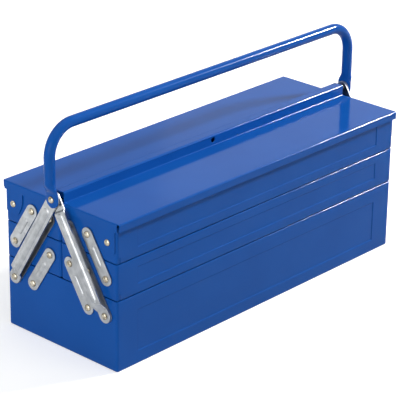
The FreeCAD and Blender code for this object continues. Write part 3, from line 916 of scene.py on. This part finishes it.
def next_ring(mesh, ring, ends, new_ends, radius, new_radius, rise):
    """Extrude a round-ended ring to new end centres, radius and height."""
    made = bmesh.ops.extrude_edge_only(mesh, edges=ring)["geom"]
    verts = only(bmesh.types.BMVert, made)
    middle = (ends[0] + ends[1]) / 2
    share = new_radius / radius
    left_half = [vert for vert in verts if vert.co.x < middle]
    right_half = [vert for vert in verts if vert.co.x > middle]
    for end, new_end, half in zip(ends, new_ends, (left_half, right_half)):
        around = Matrix.Translation((-end, 0, 0))
        bmesh.ops.scale(mesh, vec=(share, share, 1), space=around, verts=half)
        bmesh.ops.translate(mesh, vec=(new_end - end, 0, rise), verts=half)
    return only(bmesh.types.BMEdge, made)


# %% A stamped plate, with a rib or without
PLATE = 2.0 * MM
LINK_RADIUS = 9.0 * MM
SOFT = 0.35 * MM
SOFT_START = SOFT * 0.3
SOFT_REST = SOFT * 0.7
RIB_FOOT = 0.3 * MM
RIB_WIDTH_AND_RISE_SHARES = (
    (1.0, 0.10), (0.92, 0.35), (0.80, 0.25), (0.60, 0.18), (0.32, 0.10), (0.08, 0.02),
)


def stamped_plate(length, rib):
    """A rounded plate; rib is (start, end, half width, height) or None."""
    mesh = bmesh.new()
    ends = (0.0, length)
    radius = LINK_RADIUS - SOFT
    ring = plate_ring(mesh, length, radius)
    # Each step has the centres of the two round ends, their radius, and a rise.
    steps = [
        (ends, LINK_RADIUS - SOFT_START, SOFT_START), (ends, LINK_RADIUS, SOFT_REST),
        (ends, LINK_RADIUS, PLATE - SOFT * 2), (ends, LINK_RADIUS - SOFT_START, SOFT_REST),
        (ends, LINK_RADIUS - SOFT, SOFT_START),
    ]
    if rib:
        start, end, half_width, height = rib
        rib_ends = (start + half_width, end - half_width)
        steps.append((rib_ends, half_width + RIB_FOOT, 0.0))
        for width_share, rise_share in RIB_WIDTH_AND_RISE_SHARES:
            steps.append((rib_ends, half_width * width_share, height * rise_share))
    for new_ends, new_radius, rise in steps:
        ring = next_ring(mesh, ring, ends, new_ends, radius, new_radius, rise)
        ends = new_ends
        radius = new_radius
    bmesh.ops.contextual_create(mesh, geom=ring)
    bmesh.ops.recalc_face_normals(mesh, faces=mesh.faces)
    return mesh


# %% From a flat plate to its places on the box
def on_left_front(mesh, foot, head, level):
    """Stand a plate on the left end wall, from one pivot to another, at a distance out."""
    along = (head - foot).normalized()
    outwards = Vector((-1, 0, 0))
    turn = Matrix((along, outwards.cross(along), outwards)).transposed().to_4x4()
    place = Vector((-HALF_LENGTH - level, foot.y, foot.z))
    bmesh.ops.transform(mesh, matrix=Matrix.Translation(place) @ turn, verts=mesh.verts)
    return mesh


def both_ends(name, node_part, mesh, body):
    """The piece of the left end, and its mirror image on the right end."""
    right_mesh = mirrored(mesh, MIRROR_X)
    piece(name + "_left", mesh, body, node_part + "_left")
    piece(name + "_right", right_mesh, body, node_part + "_right")


# %% The twelve links
LINK_LEVEL = 0.4 * MM
SHORT_RIB = 27.0 * MM
SHORT_RIB_HALF_WIDTH = 3.0 * MM
SHORT_RIB_HEIGHT = 1.2 * MM
SHORT_LENGTH = (outer_mid - middle_top).length
LINK_RIB = (
    (SHORT_LENGTH - SHORT_RIB) / 2, (SHORT_LENGTH + SHORT_RIB) / 2,
    SHORT_RIB_HALF_WIDTH, SHORT_RIB_HEIGHT,
)

for kind, foot, head, rib in (
    ("long", outer_low, inner_top, None),
    ("lower", middle_low, inner_mid, LINK_RIB),
    ("upper", outer_mid, middle_top, LINK_RIB),
):
    front_link = on_left_front(stamped_plate((head - foot).length, rib), foot, head, LINK_LEVEL)
    rear_link = mirrored(front_link, MIRROR_Y)
    for side, mesh in (("front", front_link), ("rear", rear_link)):
        node_part = side + "_" + kind + "_link"
        both_ends("link_" + kind + "_" + side, node_part, mesh, node_part + "s")
print("links ready: 12")

# %% [markdown]
# The arms are the same plate, bent. Near its foot an arm steps out over the links, and the
# front one steps back in near its head, to pass behind the rear one. Two cuts across the
# strip mark each step, everything past them is moved out or in, and the new creases are
# rounded as a press would leave them.

# %% Bends: each has a start along the plate, a run and a rise
FOOT_LEVEL = 2.7 * MM
ARM_LENGTH = (Vector((0, 0, apex.z)) - outer_low).length
ARM_STEP = (7.5 * MM, 8.5 * MM, 6.3 * MM)
HEAD_STEP = (ARM_LENGTH - 18.2 * MM, 2.5 * MM, -2.2 * MM)
ARM_BEND = 1.5 * MM
ARM_BEND_SEGMENTS = 4
ARM_BEND_MOST_SHARE = 0.4


def bend_plate(mesh, start, run, rise):
    """Bend a plate out of its plane between two places along it."""
    for place in (start, start + run):
        cut(mesh, list(mesh.faces), (place, 0, 0), (1, 0, 0))
    past = [vert for vert in mesh.verts if vert.co.x > start + run - NEAR]
    bmesh.ops.translate(mesh, vec=(0, 0, rise), verts=past)
    for place in (start, start + run):
        creases = [
            edge for edge in all_at(mesh.edges, X, place)
            if abs(edge.verts[0].co.y - edge.verts[1].co.y) > PLATE
        ]
        bevel(mesh, creases, min(ARM_BEND, run * ARM_BEND_MOST_SHARE), ARM_BEND_SEGMENTS)


# %% The four arms
ARM_RIB_MARGIN = 19.0 * MM
ARM_RIB_HALF_WIDTH = 4.8 * MM
ARM_RIB_HEIGHT = 2.0 * MM
ARM_RIB = (
    ARM_RIB_MARGIN, ARM_LENGTH - ARM_RIB_MARGIN, ARM_RIB_HALF_WIDTH, ARM_RIB_HEIGHT,
)

apex_place = Vector((0, 0, apex.z))
for side, bends in (("front", (ARM_STEP, HEAD_STEP)), ("rear", (ARM_STEP,))):
    arm = stamped_plate(ARM_LENGTH, ARM_RIB)
    for start, run, rise in bends:
        bend_plate(arm, start, run, rise)
    arm = on_left_front(arm, outer_low, apex_place, FOOT_LEVEL)
    if side == "rear":
        arm = mirrored(arm, MIRROR_Y)
    both_ends("arm_" + side, side + "_arm", arm, "root")
print("arms ready: 4")

# %% [markdown]
# ## Rivets
#
# A button-headed rivet is a turned piece. A squashed ball on a rod would do from afar, but
# the flat under the head would be missing. So its profile is spun round its axis: the
# flared tail inside the tray, the shank, the flat under the head, and the domed head.

# %% One rivet
HEAD_RADIUS = 4.4 * MM
HEAD_HEIGHT = 2.5 * MM
HEAD_EDGE = 0.35 * MM
HEAD_GAP = 0.1 * MM
SHANK_RADIUS = 3.0 * MM
TAIL_RADIUS = 4.0 * MM
TAIL_HEIGHT = 1.0 * MM
TAIL_FLAT_RADIUS = TAIL_RADIUS * 0.8
TAIL_EDGE_HEIGHT = TAIL_HEIGHT * 0.6
DOME_STEPS = 7
SPIN_STEPS = 32


def rivet_mesh(grip_outer, grip_inner):
    """A rivet along +Z: grip_outer and grip_inner are distances out from the wall."""
    mesh = bmesh.new()
    head = grip_outer + HEAD_GAP
    tail = grip_inner - HEAD_GAP
    profile = [
        (0.0, tail - TAIL_HEIGHT), (TAIL_FLAT_RADIUS, tail - TAIL_HEIGHT),
        (TAIL_RADIUS, tail - TAIL_EDGE_HEIGHT), (TAIL_RADIUS, tail), (SHANK_RADIUS, tail),
        (SHANK_RADIUS, head), (HEAD_RADIUS, head),
    ]
    for step in range(DOME_STEPS + 1):
        angle = math.pi / 2 * step / DOME_STEPS
        height = head + HEAD_EDGE + (HEAD_HEIGHT - HEAD_EDGE) * math.sin(angle)
        profile.append((HEAD_RADIUS * math.cos(angle), height))
    verts = [mesh.verts.new((radius, 0, height)) for radius, height in profile]
    for first, second in zip(verts, verts[1:]):
        mesh.edges.new((first, second))
    bmesh.ops.spin(
        mesh, geom=list(mesh.verts) + list(mesh.edges), cent=(0, 0, 0), axis=(0, 0, 1),
        angle=math.tau, steps=SPIN_STEPS, use_merge=True,
    )
    bmesh.ops.remove_doubles(mesh, verts=mesh.verts, dist=MERGE)
    bmesh.ops.recalc_face_normals(mesh, faces=mesh.faces)
    return mesh


# %% Rivets of one body as one piece
def join(target, extra):
    """Add one bmesh to another and free the one that was added."""
    data = bpy.data.meshes.new("joining")
    extra.to_mesh(data)
    extra.free()
    target.from_mesh(data)
    bpy.data.meshes.remove(data)


def rivet_group(places, both_sides=False, grip_inner=-SHEET):
    """Rivets of the left front, each with a place and a grip, and their mirror images."""
    group = bmesh.new()
    for place, grip_outer in places:
        up_wall = place + Vector((0, 0, 1))
        rivet = on_left_front(rivet_mesh(grip_outer, grip_inner), place, up_wall, 0.0)
        copies = [rivet, mirrored(rivet, MIRROR_X)]
        if both_sides:
            copies += [mirrored(copy, MIRROR_Y) for copy in copies]
        for copy in copies:
            join(group, copy)
    return group


# %% Rivets of the box, the trays and the lids' pivots
LINK_OUTER = LINK_LEVEL + PLATE
FOOT_OUTER = FOOT_LEVEL + PLATE
EAR_OUTER = 1.6 * MM

bottom_rivets = rivet_group([(outer_low, FOOT_OUTER), (middle_low, LINK_OUTER)], both_sides=True)
piece("rivets_bottom", bottom_rivets, "root", "bottom_box_rivets")
middle_places = [(outer_mid, LINK_OUTER), (middle_mid, LINK_OUTER), (inner_mid, LINK_OUTER)]
top_places = [(middle_top, LINK_OUTER), (inner_top, LINK_OUTER), (lid_pivot, EAR_OUTER)]
for level, places in (("middle", middle_places), ("top", top_places)):
    front_group = rivet_group(places)
    rear_group = mirrored(front_group, MIRROR_Y)
    for side, mesh in (("front", front_group), ("rear", rear_group)):
        tray = side + "_" + level + "_tray"
        piece("rivets_" + side + "_" + level, mesh, tray, tray + "_rivets")
print("pivot rivets ready")

# %% [markdown]
# ## The handle
#
# The handle is one tube, bent twice, whose ends are squeezed flat and punched for a rivet.
# A curve with a round bevel could make the tube, but not its flat ends. A ring of edges
# follows the same story as the metal: it runs out along the grip, is spun round the bend,
# goes down the leg, and is then flattened ring by ring into a round-ended tab.

# %% Flatten a ring
def squeeze(mesh, ring, width, thick, centre_x, height):
    """Extrude a ring down to a height and flatten it to a width and a thickness."""
    made = bmesh.ops.extrude_edge_only(mesh, edges=ring)["geom"]
    moved = only(bmesh.types.BMVert, made)
    xs = [vert.co.x for vert in moved]
    ys = [vert.co.y for vert in moved]
    old = Vector(((min(xs) + max(xs)) / 2, 0, moved[0].co.z))
    scale = (thick / (max(xs) - min(xs)), width / (max(ys) - min(ys)), 1.0)
    bmesh.ops.scale(mesh, vec=scale, space=Matrix.Translation(-old), verts=moved)
    bmesh.ops.translate(mesh, vec=(centre_x - old.x, 0, height - old.z), verts=moved)
    return only(bmesh.types.BMEdge, made)


# %% The grip and the bend
handle_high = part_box("handle")[1]
TUBE_RADIUS = 7.0 * MM
TUBE_WIDTH = TUBE_RADIUS * 2
TUBE_CORNERS = 40
TUBE_BEND = 37.0 * MM
TUBE_BEND_STEPS = 16
LEG_X = handle_high.x - TUBE_RADIUS
GRIP_Z = handle_high.z - TUBE_RADIUS

half_tube = bmesh.new()
bmesh.ops.create_circle(
    half_tube, segments=TUBE_CORNERS, radius=TUBE_RADIUS,
    matrix=Matrix.Translation((0, 0, GRIP_Z)) @ Matrix.Rotation(math.pi / 2, 4, "Y"),
)
ring = pull(half_tube, list(half_tube.edges), (-LEG_X + TUBE_BEND, 0, 0))
elbow = bmesh.ops.spin(
    half_tube, geom=ring, cent=(-LEG_X + TUBE_BEND, 0, GRIP_Z - TUBE_BEND), axis=(0, -1, 0),
    angle=math.pi / 2, steps=TUBE_BEND_STEPS,
)
ring = only(bmesh.types.BMEdge, elbow["geom_last"])
print("grip's middle in metres above the floor:", round(GRIP_Z, 4))

# %% The squeezed ends: width, thickness, middle in x, and height above the pivot
TAB_INNER = 11.3 * MM
TAB_THICK = 3.0 * MM
TAB_RADIUS = 11.0 * MM
TAB_WIDTH = TAB_RADIUS * 2
TAB_STEPS = 8
OVAL_THICK = 8.8 * MM
tab_x = -HALF_LENGTH - TAB_INNER - TAB_THICK / 2
oval_x = -HALF_LENGTH - TAB_INNER - OVAL_THICK / 2
SQUEEZED_RINGS = (
    (TUBE_WIDTH, TUBE_WIDTH, -LEG_X, 22.0 * MM),
    (14.6 * MM, 12.6 * MM, (-LEG_X + oval_x) / 2, 19.0 * MM),
    (18.0 * MM, OVAL_THICK, oval_x, 15.0 * MM),
    (20.6 * MM, 5.4 * MM, (oval_x + tab_x * 2) / 3, 11.0 * MM),
    (TAB_WIDTH, TAB_THICK, tab_x, 7.5 * MM),
    (TAB_WIDTH, TAB_THICK, tab_x, 0.0),
)

for width, thick, centre_x, height in SQUEEZED_RINGS:
    ring = squeeze(half_tube, ring, width, thick, centre_x, apex.z + height)
for step in range(1, TAB_STEPS):
    angle = math.pi / 2 * step / TAB_STEPS
    tab_foot = apex.z - TAB_RADIUS * math.sin(angle)
    ring = squeeze(half_tube, ring, TAB_WIDTH * math.cos(angle), TAB_THICK, tab_x, tab_foot)
bmesh.ops.contextual_create(half_tube, geom=ring)
join(half_tube, mirrored(half_tube, MIRROR_X))
piece("handle_tube", half_tube, "handle", "handle")
print("handle ready")

# %% Apex rivets
HEAD_INNER = FOOT_LEVEL + ARM_STEP[2] + HEAD_STEP[2]
apex_rivets = rivet_group([(apex_place, TAB_INNER + TAB_THICK)], grip_inner=HEAD_INNER)
piece("rivets_handle", apex_rivets, "root", "handle_rivets")
print("inner side of the front arm's head, mm outside the wall:", round(HEAD_INNER / MM, 2))
